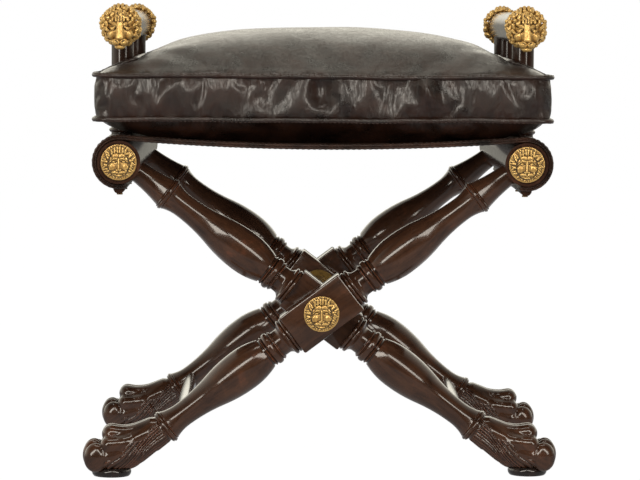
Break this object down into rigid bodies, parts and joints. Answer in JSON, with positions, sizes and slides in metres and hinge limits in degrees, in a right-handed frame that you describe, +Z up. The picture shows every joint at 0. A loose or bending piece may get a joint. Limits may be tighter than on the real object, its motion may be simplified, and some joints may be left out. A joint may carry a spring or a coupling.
{
  "type": "folding x-frame stool",
  "caption": "Folding X-frame stool with turned legs on carved lion paws, a leather sling between round rails, hand bars with lion heads and a loose box cushion.",
  "frame": {"origin": "on the floor, below the middle of the stool's box", "axes": "+Z up, +X to the right seen from the front, +Y from the front to the back, along the pivot rod"},
  "size_m": [0.5844, 0.5274, 0.5833],
  "materials": {
    "mahogany": "gloss lacquer",
    "ebonised_wood": "satin",
    "gilt_brass": "antique gilt, dark in the recesses",
    "aged_brass": "satin, darkened",
    "cushion_leather": "semi-gloss",
    "sling_leather": "semi-gloss",
    "filling": "matt",
    "steel": "satin"
  },
  "bodies": {
    "outer_frame": {"back_pivot_rosette": "gilt_brass", "cushion_bottom_piping": "cushion_leather", "cushion_cover": "cushion_leather", "cushion_filling": "filling", "cushion_top_piping": "cushion_leather", "front_pivot_rosette": "gilt_brass", "outer_back_foot_pad": "ebonised_wood", "outer_back_leg": "mahogany", "outer_back_lion_head": "gilt_brass", "outer_back_paw": "mahogany", "outer_back_post": "mahogany", "outer_back_rosette": "gilt_brass", "outer_batten_screws": "aged_brass", "outer_foot_stretcher": "mahogany", "outer_front_foot_pad": "ebonised_wood", "outer_front_leg": "mahogany", "outer_front_lion_head": "gilt_brass", "outer_front_paw": "mahogany", "outer_front_post": "mahogany", "outer_front_rosette": "gilt_brass", "outer_handle": "mahogany", "outer_rail": "mahogany", "outer_sling_batten": "mahogany", "pivot_nuts": "steel", "pivot_rod": "steel", "pivot_washers": "steel", "sling": "sling_leather"},
    "inner_frame": {"inner_back_foot_pad": "ebonised_wood", "inner_back_leg": "mahogany", "inner_back_lion_head": "gilt_brass", "inner_back_paw": "mahogany", "inner_back_post": "mahogany", "inner_back_rosette": "gilt_brass", "inner_batten_screws": "aged_brass", "inner_foot_stretcher": "mahogany", "inner_front_foot_pad": "ebonised_wood", "inner_front_leg": "mahogany", "inner_front_lion_head": "gilt_brass", "inner_front_paw": "mahogany", "inner_front_post": "mahogany", "inner_front_rosette": "gilt_brass", "inner_handle": "mahogany", "inner_rail": "mahogany", "inner_sling_batten": "mahogany", "center_stretcher": "mahogany", "center_collars": "aged_brass"}
  },
  "joints": [
    {"name": "fold", "type": "hinge", "parent": "outer_frame", "child": "inner_frame", "pos_m": [0, 0, 0.20418], "axis": [0, 1, 0], "range_deg": [0, 50], "deforming": ["sling", "cushion_cover", "cushion_filling", "cushion_top_piping", "cushion_bottom_piping"]}
  ]
}
